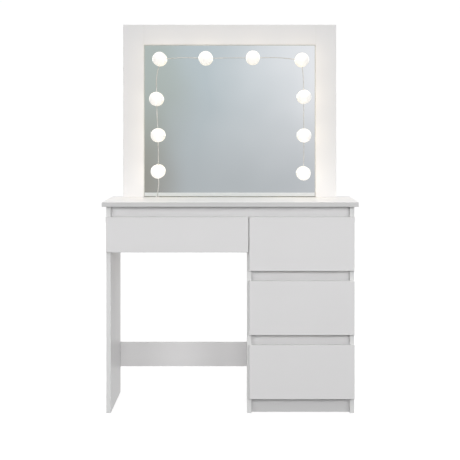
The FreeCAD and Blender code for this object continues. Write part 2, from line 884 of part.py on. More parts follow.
def string_span(here, there, bow):
    """One bowed length of wire between the rims of two neighbouring light bases."""
    start = FreeCAD.Vector(here[0], wire_plane, here[1])
    end = FreeCAD.Vector(there[0], wire_plane, there[1])
    heading = (end - start).normalize()
    rim = value("base_radius - wire_entry")
    start = start + heading * rim
    end = end - heading * rim
    middle = (start + end) * 0.5 + FreeCAD.Vector(bow[0], 0, bow[1])
    return tube(Part.Wire(Part.Arc(start, middle, end).toShape()), wire_radius)


light_string = doc.addObject("Part::Feature", "light_string_wire")
light_string.Shape = Part.makeCompound(
    [string_span(LIGHTS[i], LIGHTS[i + 1], bow) for i, bow in enumerate(BOWS)]
)
keep(light_string, "light_string_wire")


ARC_SHARE = 0.45


def rounded_route(label, points):
    """Straight runs joined by tangent arcs, each as large as 0.45 of the shorter of its two runs."""
    vectors = [FreeCAD.Vector(*point) for point in points]
    edges = []
    leaving = vectors[0]
    radii = []
    for before, corner, after in zip(vectors, vectors[1:], vectors[2:]):
        come = (corner - before).normalize()
        go = (after - corner).normalize()
        half_turn = math.acos(max(-1.0, min(1.0, come.dot(go)))) / 2
        cut = ARC_SHARE * min((corner - before).Length, (after - corner).Length)
        radius = cut / math.tan(half_turn)
        radii.append(round(radius, 1))
        arc_start = corner - come * cut
        arc_end = corner + go * cut
        inward = (go - come).normalize()
        arc_middle = corner + inward * (radius / math.cos(half_turn) - radius)
        edges.append(Part.LineSegment(leaving, arc_start).toShape())
        edges.append(Part.Arc(arc_start, arc_middle, arc_end).toShape())
        leaving = arc_end
    edges.append(Part.LineSegment(leaving, vectors[-1]).toShape())
    path = Part.Wire(edges)
    print(f"{label}: length {path.Length:.1f} mm, radii {radii}")
    return path


# The supply lead hangs from the last light, goes under the glass and through the batten's notch,
# and is coiled on the tabletop behind the mirror: nine turns in two layers, wound clockwise seen
# from above. The tail leaves the upper layer and comes down to the plug, which lies beside the coil.
LEAD_ROUTE = [
    (-273.8, 131.5, 821.4),
    (-271.4, 131.0, 804.0),
    (-272.4, 130.4, 786.0),
    (-275.0, 128.6, 767.0),
    (-276.8, 126.4, 747.0),
    (-277.2, 149.5, 746.6),
    (-273.0, 166.0, 746.6),
    (-262.0, 180.0, 746.6),
    (-246.0, 189.5, 746.6),
    (-229.0, 192.6, 746.6),
    (-213.8, 193.0, 746.6),
]
TAIL_ROUTE = [
    (-189.6, 195.1, 748.4),
    (-177.8, 189.6, 747.1),
    (-166.3, 182.2, 746.6),
    (-155.0, 175.2, 747.6),
    (-142.0, 172.0, 748.9),
]
for label, points in (("usb_lead", LEAD_ROUTE), ("usb_lead_tail", TAIL_ROUTE)):
    lead = doc.addObject("Part::Feature", label)
    lead.Shape = tube(rounded_route(label, points), wire_radius)
    keep(lead, label)

COIL_INNER = "(coil_radius - coil_thickness / 2)"
COIL_OUTER = "(coil_radius + coil_thickness / 2)"
coil = turned(
    "usb_lead_coil",
    [
        (COIL_INNER, "coil_bevel"),
        (f"{COIL_INNER} + coil_bevel", "0"),
        (f"{COIL_OUTER} - coil_bevel", "0"),
        (COIL_OUTER, "coil_bevel"),
        (COIL_OUTER, "coil_height - coil_bevel"),
        (f"{COIL_OUTER} - coil_bevel", "coil_height"),
        (f"{COIL_INNER} + coil_bevel", "coil_height"),
        (COIL_INNER, "coil_height - coil_bevel"),
    ],
)
coil.setExpression("Placement.Base.x", bound("coil_centre_x"))
coil.setExpression("Placement.Base.y", bound("coil_centre_y"))
coil.setExpression("Placement.Base.z", bound(f"{TOP_FACE} + lying_gap"))
keep(coil, "usb_lead_coil")

plug_grip = doc.addObject("Part::Box", "plug_grip")
plug_shell = doc.addObject("Part::Box", "plug_shell")
plug_axis_level = f"{TOP_FACE} + plug_height / 2 + lying_gap"
for box, sizes, start in (
    (plug_grip, ("plug_length", "plug_width", "plug_height"), "plug_start_x"),
    (plug_shell, ("shell_length", "shell_width", "shell_height"), "plug_start_x + plug_length"),
):
    for side, text in zip(("Length", "Width", "Height"), sizes):
        box.setExpression(side, bound(text))
    box.setExpression("Placement.Base.x", bound(start))
    box.setExpression("Placement.Base.y", bound(f"plug_centre_y - {sizes[1]} / 2"))
    box.setExpression("Placement.Base.z", bound(f"{plug_axis_level} - {sizes[2]} / 2"))
plug_round = doc.addObject("Part::Fillet", "plug_round")
doc.recompute()
plug_round.Base = plug_grip
rounding = value("plug_rounding")
plug_round.Edges = [(i, rounding, rounding) for i in range(1, len(plug_grip.Shape.Edges) + 1)]
plug = doc.addObject("Part::Compound", "usb_plug")
plug.Links = [plug_round, plug_shell]
keep(plug, "usb_plug")

# ---------------------------------------------------------------- checks and files

doc.recompute()
for thing in doc.Objects:
    if "Invalid" in thing.State or "Error" in thing.State:
        raise ValueError(f"{thing.Name} failed: {thing.State}")
for part in parts:
    if part.Shape.isNull() or not part.Shape.isValid() or not part.Shape.Solids:
        raise ValueError(f"{part.Label} has no valid solid")

os.makedirs("parts", exist_ok=True)
for part in parts:
    part.Shape.exportStep(os.path.join("parts", f"{part.Label}.step"))
print(f"{len(parts)} nodes written")
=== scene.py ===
import bmesh
import bpy
import json
import math
from mathutils import Matrix, Vector


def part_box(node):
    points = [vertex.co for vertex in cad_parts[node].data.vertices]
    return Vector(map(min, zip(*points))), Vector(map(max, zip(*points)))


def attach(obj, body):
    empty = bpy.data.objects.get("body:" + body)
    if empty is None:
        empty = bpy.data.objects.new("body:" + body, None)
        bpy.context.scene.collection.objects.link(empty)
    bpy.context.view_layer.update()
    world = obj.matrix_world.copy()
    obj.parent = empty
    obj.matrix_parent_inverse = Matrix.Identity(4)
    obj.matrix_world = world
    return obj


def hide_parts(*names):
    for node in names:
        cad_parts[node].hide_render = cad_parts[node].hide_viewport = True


# Looks of the vanity table, in metres. X runs to the right, Y to the rear and Z up. Boards and
# fittings keep their CAD shape and get a material. The globes, the light bases, the supply lead
# with its plug, the cam locks and the screws are replaced by detailed pieces.

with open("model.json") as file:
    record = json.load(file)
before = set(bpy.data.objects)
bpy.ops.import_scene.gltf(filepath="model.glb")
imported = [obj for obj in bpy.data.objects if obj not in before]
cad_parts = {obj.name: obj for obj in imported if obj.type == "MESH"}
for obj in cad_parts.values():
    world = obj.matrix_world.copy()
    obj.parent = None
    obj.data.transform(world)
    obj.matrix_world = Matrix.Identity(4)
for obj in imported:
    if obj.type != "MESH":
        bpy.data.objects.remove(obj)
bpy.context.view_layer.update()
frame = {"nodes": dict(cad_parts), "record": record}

MM = 0.001
TURN = 2 * math.pi
SHARP = math.radians(32)

# ---------------------------------------------------------------- camera

SENSOR_WIDTH = 36.0
FOCAL_LENGTH = 100.51
LENS_SHIFT = (-0.0272, -0.2237)
CAMERA_PLACE = (0.0432, -4.696, 1.0084)
LEVEL_TO_REAR = (math.pi / 2, 0, 0)

camera_data = bpy.data.cameras.new("camera")
camera_data.sensor_width = SENSOR_WIDTH
camera_data.lens = FOCAL_LENGTH
camera_data.shift_x, camera_data.shift_y = LENS_SHIFT
camera = bpy.data.objects.new("camera", camera_data)
camera.location = CAMERA_PLACE
camera.rotation_euler = LEVEL_TO_REAR
bpy.context.collection.objects.link(camera)
bpy.context.scene.camera = camera

# ---------------------------------------------------------------- supply lead

# Down from the last light, under the glass, through the batten's notch and on to the coil.
LEAD_ROUTE = [
    (-0.2738, 0.1315, 0.8214),
    (-0.2714, 0.1310, 0.8040),
    (-0.2724, 0.1304, 0.7860),
    (-0.2750, 0.1286, 0.7670),
    (-0.2768, 0.1264, 0.7470),
    (-0.2772, 0.1495, 0.7466),
    (-0.2730, 0.1660, 0.7466),
    (-0.2620, 0.1800, 0.7466),
    (-0.2460, 0.1895, 0.7466),
    (-0.2290, 0.1926, 0.7466),
    (-0.2138, 0.1930, 0.7466),
]
TAIL_ROUTE = [
    (-0.1896, 0.1951, 0.7484),
    (-0.1778, 0.1896, 0.7471),
    (-0.1663, 0.1822, 0.7466),
    (-0.1550, 0.1752, 0.7476),
    (-0.1420, 0.1720, 0.7489),
]
LEAD_DIAMETER = 0.0025
COIL_CENTRE = (-0.200, 0.177)
COIL_OUTER = 0.0196
COIL_INNER = COIL_OUTER - 4.5 * LEAD_DIAMETER
COIL_LAYER_TURNS = 4.5
COIL_START = math.radians(94)
POINTS_A_TURN = 16
LAYER_LEVELS = (0.74635, 0.74885)
CLIMB_POINTS = 6


def coil_points():
    """Two flat spirals, one on the other: inwards along the tabletop, then outwards on top."""
    steps = round(COIL_LAYER_TURNS * POINTS_A_TURN)
    # a curve of this kind passes a little inside control points that stand on a circle
    spread = 1 / math.cos(math.pi / POINTS_A_TURN)
    points = []
    for i in range(2 * steps + 1):
        share = i / steps
        inward = share if share < 1 else 2 - share
        radius = (COIL_OUTER + (COIL_INNER - COIL_OUTER) * inward) * spread
        angle = COIL_START - TURN * i / POINTS_A_TURN
        climb = min(1, max(0, (i - steps) / CLIMB_POINTS + 0.5))
        level = LAYER_LEVELS[0] + (LAYER_LEVELS[1] - LAYER_LEVELS[0]) * climb
        x = COIL_CENTRE[0] + radius * math.cos(angle)
        y = COIL_CENTRE[1] + radius * math.sin(angle)
        points.append((x, y, level))
    return points


def smooth_cord(name, route, diameter):
    """A round cord on a smooth curve whose control points are the route's points."""
    curve = bpy.data.curves.new(name, "CURVE")
    curve.dimensions = "3D"
    curve.bevel_depth = diameter / 2
    curve.bevel_resolution = 5
    curve.use_fill_caps = True
    spline = curve.splines.new("NURBS")
    spline.points.add(len(route) - 1)
    for point, place in zip(spline.points, route):
        point.co = (*place, 1)
    spline.order_u = 3
    spline.use_endpoint_u = True
    spline.resolution_u = 6
    cord = bpy.data.objects.new(name, curve)
    bpy.context.collection.objects.link(cord)
    return cord


usb_cord = smooth_cord("supply_lead", LEAD_ROUTE + coil_points() + TAIL_ROUTE, LEAD_DIAMETER)

# ---------------------------------------------------------------- meshes


def joined(shapes):
    """One list of points and one of faces from several (points, faces) shapes."""
    points = []
    faces = []
    for more_points, more_faces in shapes:
        start = len(points)
        points.extend(more_points)
        faces.extend([tuple(start + i for i in face) for face in more_faces])
    return points, faces


def moved(shape, matrix):
    """The same (points, faces) shape in another place."""
    return [matrix @ Vector(point) for point in shape[0]], shape[1]


def mesh_piece(name, shape, material, body):
    """A finished piece from a (points, faces) shape, riding on a body of the frame."""
    mesh = bpy.data.meshes.new(name)
    mesh.from_pydata([tuple(point) for point in shape[0]], [], shape[1])
    mesh.validate()
    work = bmesh.new()
    work.from_mesh(mesh)
    bmesh.ops.recalc_face_normals(work, faces=work.faces)
    work.to_mesh(mesh)
    work.free()
    mesh.shade_smooth()
    mesh.set_sharp_from_angle(angle=SHARP)
    mesh.materials.append(material)
    piece = bpy.data.objects.new(name, mesh)
    bpy.context.collection.objects.link(piece)
    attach(piece, body)
    return piece


def loft(sections):
    """A closed skin over rings of equally many points, with a flat face on each end ring."""
    count = len(sections[0])
    points = [point for ring in sections for point in ring]
    faces = []
    for i in range(len(sections) - 1):
        for j in range(count):
            k = (j + 1) % count
            faces.append((i * count + j, i * count + k, (i + 1) * count + k, (i + 1) * count + j))
    last = (len(sections) - 1) * count
    faces.append(tuple(reversed(range(count))))
    faces.append(tuple(range(last, last + count)))
    return points, faces


def turned(profile, sides, ripple=None):
    """A skin turned from (radius, level) points about Z. ripple(level, angle) adds to the radius."""
    rings = []
    for radius, level in profile:
        ring = []
        for j in range(sides):
            angle = TURN * j / sides
            r = radius + (ripple(level, angle) if ripple else 0)
            ring.append((r * math.cos(angle), r * math.sin(angle), level))
        rings.append(ring)
    return loft(rings)


def arc(centre, radius, start, end, steps):
    """Points (across, along) of a circular arc, angles in degrees."""
    found = []
    for i in range(steps + 1):
        angle = math.radians(start + (end - start) * i / steps)
        found.append((centre[0] + radius * math.cos(angle), centre[1] + radius * math.sin(angle)))
    return found


def rounded_rectangle(width, height, radius, x, centre, steps=4):
    """A ring of points across X at the place x, with rounded corners."""
    ring = []
    for sign_y, sign_z, start in ((1, 1, 0), (-1, 1, 90), (-1, -1, 180), (1, -1, 270)):
        middle = (sign_y * (width / 2 - radius), sign_z * (height / 2 - radius))
        for across, up in arc(middle, radius, start, start + 90, steps):
            ring.append((x, centre[0] + across, centre[1] + up))
    return ring


def cross_outline(reach, width):
    """The twelve corners of a cross, widening from its middle."""
    half = width / 2
    arm = [(reach, -half), (reach, half), (half, half)]
    outline = []
    for quarter in range(4):
        turn = Matrix.Rotation(quarter * TURN / 4, 2)
        outline.extend(turn @ Vector(point) for point in arm)
    return outline


def recessed_disc(profile, sides, reach, width, depth):
    """A turned head whose top face has a cross-shaped recess. The profile ends at the top's rim."""
    work = bmesh.new()
    rings = []
    for radius, level in profile:
        ring = []
        for j in range(sides):
            angle = TURN * j / sides
            ring.append(work.verts.new((radius * math.cos(angle), radius * math.sin(angle), level)))
        rings.append(ring)
    for lower, upper in zip(rings, rings[1:]):
        for j in range(sides):
            k = (j + 1) % sides
            work.faces.new((lower[j], lower[k], upper[k], upper[j]))
    work.faces.new(list(reversed(rings[0])))
    top = profile[-1][1]
    rim_edges = [work.edges.get((rings[-1][j], rings[-1][(j + 1) % sides])) for j in range(sides)]
    outline = cross_outline(reach, width)
    mouth = [work.verts.new((x, y, top)) for x, y in outline]
    floor = [work.verts.new((x * 0.7, y * 0.7, top - depth)) for x, y in outline]
    mouth_edges = []
    for j in range(len(outline)):
        k = (j + 1) % len(outline)
        work.faces.new((mouth[j], mouth[k], floor[k], floor[j]))
        mouth_edges.append(work.edges.get((mouth[j], mouth[k])))
    work.faces.new(floor)
    bmesh.ops.triangle_fill(work, edges=rim_edges + mouth_edges, use_beauty=True)
    work.verts.index_update()
    shape = [v.co.copy() for v in work.verts], [tuple(v.index for v in f.verts) for f in work.faces]
    work.free()
    return shape


def solids_of(node):
    """(lowest corner, highest corner) of each separate solid in a CAD node, in order of place."""
    work = bmesh.new()
    work.from_mesh(frame["nodes"][node].data)
    bmesh.ops.remove_doubles(work, verts=work.verts, dist=0.01 * MM)
    waiting = set(work.verts)
    found = []
    for first in work.verts:
        if first not in waiting:
            continue
        waiting.discard(first)
        group = [first]
        for vertex in group:
            for edge in vertex.link_edges:
                other = edge.other_vert(vertex)
                if other in waiting:
                    waiting.discard(other)
                    group.append(other)
        low = Vector([min(v.co[axis] for v in group) for axis in range(3)])
        high = Vector([max(v.co[axis] for v in group) for axis in range(3)])
        found.append((low, high))
    work.free()
    return sorted(found, key=lambda corners: tuple(round(c, 5) for c in corners[0]))


# ---------------------------------------------------------------- finishes


class Finish:
    """A principled material with short calls for the nodes that its pattern is made of."""

    def __init__(self, name, **sockets):
        self.material = bpy.data.materials.new(name)
        self.material.use_nodes = True
        self.tree = self.material.node_tree
        self.tree.nodes.clear()
        output = self.tree.nodes.new("ShaderNodeOutputMaterial")
        self.shader = self.tree.nodes.new("ShaderNodeBsdfPrincipled")
        self.tree.links.new(self.shader.outputs[0], output.inputs[0])
        self.place = self.tree.nodes.new("ShaderNodeTexCoord").outputs["Object"]
        for socket, value in sockets.items():
            self.shader.inputs[socket.replace("_", " ")].default_value = value

    def feed(self, socket, value):
        """Gives a socket a number, a colour or another node's output."""
        if isinstance(value, bpy.types.NodeSocket):
            self.tree.links.new(value, socket)
        elif isinstance(value, tuple) and len(value) == 3 and socket.type == "RGBA":
            socket.default_value = (*value, 1)
        else:
            socket.default_value = value

    def set(self, socket, value):
        self.feed(self.shader.inputs[socket], value)

    def math(self, operation, *values):
        node = self.tree.nodes.new("ShaderNodeMath")
        node.operation = operation
        for socket, value in zip(node.inputs, values):
            self.feed(socket, value)
        return node.outputs[0]

    def axes(self, source=None):
        node = self.tree.nodes.new("ShaderNodeSeparateXYZ")
        self.feed(node.inputs[0], source or self.place)
        return node.outputs

    def stretched(self, scale):
        node = self.tree.nodes.new("ShaderNodeMapping")
        node.inputs["Scale"].default_value = scale
        self.feed(node.inputs["Vector"], self.place)
        return node.outputs[0]

    def noise(self, scale, detail=2.0, source=None):
        node = self.tree.nodes.new("ShaderNodeTexNoise")
        node.inputs["Scale"].default_value = scale
        node.inputs["Detail"].default_value = detail
        self.feed(node.inputs["Vector"], source or self.place)
        return node.outputs["Fac"]

    def cells(self, scale, source=None):
        node = self.tree.nodes.new("ShaderNodeTexVoronoi")
        node.inputs["Scale"].default_value = scale
        self.feed(node.inputs["Vector"], source or self.place)
        return node.outputs["Distance"]

    def ranged(self, value, low, high, to_low=0.0, to_high=1.0, smooth=True):
        node = self.tree.nodes.new("ShaderNodeMapRange")
        node.interpolation_type = "SMOOTHSTEP" if smooth else "LINEAR"
        names = ("From Min", "From Max", "To Min", "To Max")
        for name, number in zip(names, (low, high, to_low, to_high)):
            node.inputs[name].default_value = number
        self.feed(node.inputs["Value"], value)
        return node.outputs["Result"]

    def mix(self, share, first, second):
        node = self.tree.nodes.new("ShaderNodeMix")
        node.data_type = "RGBA"
        colour_sockets = [socket for socket in node.inputs if socket.type == "RGBA"]
        self.feed(node.inputs["Factor"], share)
        self.feed(colour_sockets[0], first)
        self.feed(colour_sockets[1], second)
        return next(socket for socket in node.outputs if socket.type == "RGBA")

    def facing(self, axis):
        """The surface's own direction along one axis, from -1 to 1."""
        geometry = self.tree.nodes.new("ShaderNodeNewGeometry")
        return self.axes(geometry.outputs["Normal"])[axis]

    def bump(self, height, strength, distance):
        node = self.tree.nodes.new("ShaderNodeBump")
        node.inputs["Strength"].default_value = strength
        node.inputs["Distance"].default_value = distance
        self.feed(node.inputs["Height"], height)
        self.set("Normal", node.outputs[0])


WHITE = (0.768, 0.762, 0.765)
WHITE_MOTTLED = (0.762, 0.756, 0.759)
BANDING = (0.775, 0.775, 0.772)
TABLETOP_BANDING = (0.61, 0.608, 0.606)
GLUE_LINE = (0.50, 0.49, 0.47)
# How far from a board's edge the banding fades into the face, and the glue line between them.
BANDING_FADE = (0.7 * MM, 0.8 * MM)
GLUE_LINE_PLACE = 0.85 * MM
GLUE_LINE_FADE = (0.05 * MM, 0.16 * MM)
# Painted light and shade: the recessed rails and the kneehole's stretcher are painted lighter than the
# other boards, and the plinth board under the lowest front is painted darker, for the light that reaches
# them there.
PAINTED_LIGHT_SCALES = {
    "top_front_rail": 1.08,
    "pedestal_rail_upper": 1.08,
    "pedestal_rail_lower": 1.08,
    "kneehole_stretcher": 1.14,
    "plinth_board": 0.93,
}
# Painted shade: the batten behind the mirror's foot has its front painted a mottled dark grey, for the
# dark gap seen under the glass.
SHADED_GAP_NODE = "mirror_bottom_batten"
GAP_SHADE_GREYS = ((0.46, 0.445, 0.42), (0.56, 0.545, 0.52))


def laminate(node):
    """Melamine laminate on a board, with its edge banding and the glue line round each face."""
    low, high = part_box(node)
    size = high - low
    thin = min(range(3), key=lambda axis: size[axis])
    finish = Finish(f"laminate_{node}", IOR=1.5)
    axes = finish.axes()
    edge = None
    for axis in range(3):
        if axis != thin:
            from_low = finish.math("SUBTRACT", axes[axis], low[axis])
            from_high = finish.math("SUBTRACT", high[axis], axes[axis])
            nearer = finish.math("MINIMUM", from_low, from_high)
            edge = nearer if edge is None else finish.math("MINIMUM", edge, nearer)
    mottle = finish.ranged(finish.noise(5.0, 3.0), 0.35, 0.65)
    # painted light and shade: some boards' white is scaled up or down by this factor
    shade = PAINTED_LIGHT_SCALES.get(node, 1.0)
    plain, mottled = [tuple(shade * share for share in white) for white in (WHITE, WHITE_MOTTLED)]
    colour = finish.mix(mottle, plain, mottled)
    band = finish.ranged(edge, *BANDING_FADE, 1.0, 0.0)
    colour = finish.mix(band, colour, TABLETOP_BANDING if node == "tabletop" else BANDING)
    away = finish.math("ABSOLUTE", finish.math("SUBTRACT", edge, GLUE_LINE_PLACE))
    seam = finish.ranged(away, *GLUE_LINE_FADE, 0.7, 0.0)
    colour = finish.mix(seam, colour, GLUE_LINE)
    # painted shade: the batten's front face is dark grey, for the shaded gap under the glass
    if node == SHADED_GAP_NODE:
        gap_shade = finish.ranged(finish.facing(1), -0.75, -0.6, 1.0, 0.0)
        colour = finish.mix(gap_shade, colour, finish.mix(finish.noise(350.0, 3.0), *GAP_SHADE_GREYS))
    finish.set("Base Color", colour)
    smears = finish.ranged(finish.noise(22.0, 4.0), 0.3, 0.7, -0.015, 0.015)
    grain = finish.noise(900.0, 2.0)
    fine = finish.ranged(grain, 0.3, 0.7, 0.31, 0.35)
    rough = finish.math("ADD", smears, fine)
    finish.set("Roughness", finish.math("ADD", rough, finish.math("MULTIPLY", band, 0.08)))
    finish.bump(grain, 0.08, 0.03 * MM)
    return finish.material


def hardboard():
    """White lacquer on the faces that look to the front or up, bare pressed fibre on the others."""
    finish = Finish("hardboard")
    fibres = finish.noise(160.0, 6.0, finish.stretched((1.0, 1.0, 0.25)))
    bare = finish.mix(finish.ranged(fibres, 0.3, 0.7), (0.36, 0.25, 0.16), (0.50, 0.37, 0.25))
    lacquer = finish.mix(finish.ranged(finish.noise(6.0, 3.0), 0.35, 0.65), WHITE, WHITE_MOTTLED)
    rear = finish.ranged(finish.facing(1), 0.2, 0.6)
    under = finish.ranged(finish.facing(2), -0.6, -0.2, 1.0, 0.0)
    finish.set("Base Color", finish.mix(finish.math("MAXIMUM", rear, under), lacquer, bare))
    finish.set("Roughness", finish.ranged(fibres, 0.3, 0.7, 0.42, 0.6))
    finish.bump(fibres, 0.2, 0.08 * MM)
    return finish.material


def zinc_casting():
    finish = Finish("zinc_casting", Metallic=1.0)
    spots = finish.noise(700.0, 4.0)
    finish.set("Base Color", finish.mix(spots, (0.56, 0.56, 0.57), (0.70, 0.70, 0.71)))
    finish.set("Roughness", finish.ranged(spots, 0.3, 0.7, 0.32, 0.5))
    finish.bump(spots, 0.25, 0.06 * MM)
    return finish.material


def zinc_sheet():
    """Zinc plated strip: drawn along its length, with cloudy patches."""
    finish = Finish("zinc_sheet", Metallic=1.0)
    drawn = finish.noise(420.0, 5.0, finish.stretched((1.0, 0.03, 1.0)))
    clouds = finish.ranged(finish.noise(60.0, 3.0), 0.3, 0.7)
    finish.set("Base Color", finish.mix(clouds, (0.60, 0.61, 0.64), (0.74, 0.76, 0.79)))
    finish.set("Roughness", finish.ranged(drawn, 0.3, 0.7, 0.24, 0.4))
    finish.bump(drawn, 0.15, 0.03 * MM)
    return finish.material


# The glass is painted a flat dull grey this far in from its sides and top, a painted shade for the lip's
# shadow; the frame's lip covers the most of it.
SHADED_BORDER = 11 * MM
SHADED_BORDER_FADE = 0.4 * MM


def mirror_silver(low, high):
    """Silvered face with a grey painted shade border beside the lip, ground green edges and grey paint
    behind.
    """
    finish = Finish("mirror_silver", IOR=1.5)
    facing = finish.facing(1)
    x, _, z = finish.axes()
    from_left = finish.math("SUBTRACT", x, low.x)
    from_right = finish.math("SUBTRACT", high.x, x)
    from_side = finish.math("MINIMUM", from_left, from_right)
    from_edge = finish.math("MINIMUM", from_side, finish.math("SUBTRACT", high.z, z))
    lip_shade = finish.ranged(from_edge, SHADED_BORDER - SHADED_BORDER_FADE, SHADED_BORDER, 1.0, 0.0)
    face = finish.ranged(facing, -0.75, -0.6, 1.0, 0.0)
    front = finish.math("MULTIPLY", face, finish.math("SUBTRACT", 1.0, lip_shade))
    rear = finish.ranged(facing, 0.6, 0.75)
    dust = finish.noise(260.0, 5.0)
    smears = finish.ranged(finish.noise(7.0, 3.0), 0.45, 0.75, 0.0, 0.012)
    paint = finish.mix(dust, (0.22, 0.24, 0.25), (0.27, 0.29, 0.30))
    cut_edge = finish.mix(dust, (0.20, 0.42, 0.36), (0.30, 0.52, 0.46))
    colour = finish.mix(rear, cut_edge, paint)
    # painted shade: the front face inside the border is flat grey and not silvered
    colour = finish.mix(face, colour, (0.47, 0.47, 0.465))
    finish.set("Base Color", finish.mix(front, colour, (0.90, 0.925, 0.92)))
    finish.set("Metallic", front)
    plain = finish.ranged(dust, 0.3, 0.7, 0.3, 0.45)
    polished = finish.math("ADD", 0.006, smears)
    shine = finish.math("MULTIPLY", front, finish.math("SUBTRACT", polished, plain))
    finish.set("Roughness", finish.math("ADD", plain, shine))
    return finish.material


def opal_glow(glass_front):
    """Lit opal plastic: warmer and stronger round the neck, where the light-emitting diodes are."""
    finish = Finish("opal_glow", Roughness=0.32, IOR=1.49)
    depth = finish.math("SUBTRACT", glass_front, finish.axes()[1])
    along = finish.ranged(depth, 10 * MM, 42 * MM)
    cloud = finish.ranged(finish.noise(90.0, 3.0), 0.3, 0.7, -0.02, 0.02)
    finish.set("Base Color", finish.mix(along, (0.72, 0.70, 0.66), (0.66, 0.655, 0.64)))
    finish.set("Emission Color", finish.mix(along, (1.0, 0.84, 0.62), (1.0, 0.97, 0.92)))
    strength = finish.ranged(along, 0.0, 1.0, 0.60, 0.45, smooth=False)
    finish.set("Emission Strength", finish.math("ADD", strength, cloud))
    finish.bump(finish.noise(500.0, 2.0), 0.05, 0.05 * MM)
    return finish.material


def moulded_plastic(name, colour, shade, roughness):
    """Injection-moulded plastic with a fine spark-eroded texture."""
    finish = Finish(name, IOR=1.49)
    grain = finish.noise(1500.0, 3.0)
    finish.set("Base Color", finish.mix(finish.ranged(finish.noise(30.0), 0.3, 0.7), colour, shade))
    finish.set("Roughness", finish.ranged(grain, 0.3, 0.7, roughness - 0.05, roughness + 0.07))
    finish.bump(grain, 0.2, 0.04 * MM)
    return finish.material


def circuit_board():
    """White solder mask with copper rings showing through and yellow diodes."""
    finish = Finish("circuit_board", IOR=1.5)
    rings = finish.cells(110.0)
    copper = finish.ranged(rings, 0.16, 0.2, 1.0, 0.0)
    mask = finish.mix(finish.noise(200.0), (0.86, 0.86, 0.84), (0.90, 0.90, 0.89))
    finish.set("Base Color", finish.mix(copper, mask, (0.85, 0.72, 0.30)))
    finish.set("Roughness", finish.ranged(copper, 0.0, 1.0, 0.35, 0.5))
    finish.bump(copper, 0.3, 0.2 * MM)
    return finish.material


def foam():
    finish = Finish("foam", IOR=1.45)
    pores = finish.cells(1400.0)
    finish.set("Base Color", finish.mix(pores, (0.66, 0.66, 0.65), (0.84, 0.84, 0.83)))
    finish.set("Roughness", finish.ranged(pores, 0.0, 0.6, 0.95, 0.8))
    finish.bump(pores, 0.6, 0.2 * MM)
    return finish.material


def cable_sheath():
    """Soft light grey PVC, slightly dulled by handling."""
    finish = Finish("cable_sheath", IOR=1.5)
    handling = finish.ranged(finish.noise(70.0, 4.0), 0.3, 0.7)
    finish.set("Base Color", finish.mix(handling, (0.57, 0.57, 0.56), (0.50, 0.50, 0.49)))
    finish.set("Roughness", finish.ranged(handling, 0.0, 1.0, 0.38, 0.52))
    finish.bump(finish.noise(900.0, 2.0), 0.15, 0.05 * MM)
    return finish.material


glass_low, glass_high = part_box("mirror_glass")
HARDBOARD = hardboard()
CASTING = zinc_casting()
SHEET = zinc_sheet()
SILVER = mirror_silver(glass_low, glass_high)
GLOW = opal_glow(glass_low.y)
BASE_PLASTIC = moulded_plastic("base_plastic", (0.86, 0.86, 0.85), (0.83, 0.83, 0.82), 0.28)
PLUG_PLASTIC = moulded_plastic("plug_plastic", (0.84, 0.84, 0.83), (0.80, 0.80, 0.79), 0.4)
BOARD_MASK = circuit_board()
FOAM = foam()
SHEATH = cable_sheath()

BY_SLOT = {
    "hardboard": HARDBOARD,
    "zinc_fittings": CASTING,
    "zinc_steel": SHEET,
    "mirror": SILVER,
    "opal_globe": GLOW,
    "white_plastic": BASE_PLASTIC,
    "led_board": BOARD_MASK,
    "foam_pad": FOAM,
    "cable_pvc": SHEATH,
    "plug_plastic": PLUG_PLASTIC,
}
for part in frame["record"]["subparts"]:
    node = part["node"]
    material = BY_SLOT.get(part["material_slot"]) or laminate(node)
    for material_slot in frame["nodes"][node].material_slots:
        material_slot.material = material

# ---------------------------------------------------------------- globe lights

light_boxes = solids_of("light_bases")
mirror_middle = (glass_low + glass_high) / 2


def round_the_mirror(place):
    """The angle of a light round the mirror, from straight below and over the right side."""
    return (math.atan2(place.z - mirror_middle.z, place.x - mirror_middle.x) + TURN / 4) % TURN


lights = [Vector(((low.x + high.x) / 2, glass_low.y, (low.z + high.z) / 2)) for low, high in light_boxes]
lights.sort(key=round_the_mirror)
TO_FRONT = Matrix.Rotation(math.pi / 2, 4, "X")

GLOBE_RADIUS = 26 * MM
NECK_RADIUS = 17.2 * MM
NECK_FOOT = 7.9 * MM
NECK_HEAD = 10 * MM
GLOBE_LEVEL = NECK_HEAD + math.sqrt(GLOBE_RADIUS**2 - NECK_RADIUS**2)
POLE_RADIUS = 0.4 * MM
SEAM_HEIGHT = 0.12 * MM
GLOBE_SIDES = 64
neck_angle = -math.degrees(math.acos(NECK_RADIUS / GLOBE_RADIUS))
pole_angle = math.degrees(math.acos(POLE_RADIUS / GLOBE_RADIUS))


def globe_shape():
    """A ball on a neck, with a faint mould seam round the ball."""
    profile = [(NECK_RADIUS - 0.3 * MM, NECK_FOOT), (NECK_RADIUS, NECK_FOOT + 0.3 * MM)]
    profile.append((NECK_RADIUS, NECK_HEAD - 0.6 * MM))
    ball = arc((0, GLOBE_LEVEL), GLOBE_RADIUS, neck_angle, pole_angle, 34)
    for radius, level in ball[1:]:
        off_seam = abs(level - GLOBE_LEVEL) / MM
        bead = SEAM_HEIGHT * math.exp(-(off_seam**2))
        profile.append((radius + bead, level))
    return turned(profile, GLOBE_SIDES)


BASE_RADIUS = 20.5 * MM
BASE_FOOT = 1 * MM
BASE_HEAD = 9 * MM
BASE_SIDES = 160
FLUTE_COUNT = 40
FLUTE_DEPTH = 0.35 * MM
FLUTE_FOOT = 2.4 * MM
FLUTE_HEAD = 7.0 * MM
INLET_LEVEL = 4.5 * MM
INLET_LENGTH = 3.4 * MM


def flutes(level, angle):
    """Shallow upright flutes round the middle of the base's rim."""
    if not FLUTE_FOOT < level < FLUTE_HEAD:
        return 0
    return -FLUTE_DEPTH * (0.5 + 0.5 * math.cos(FLUTE_COUNT * angle))


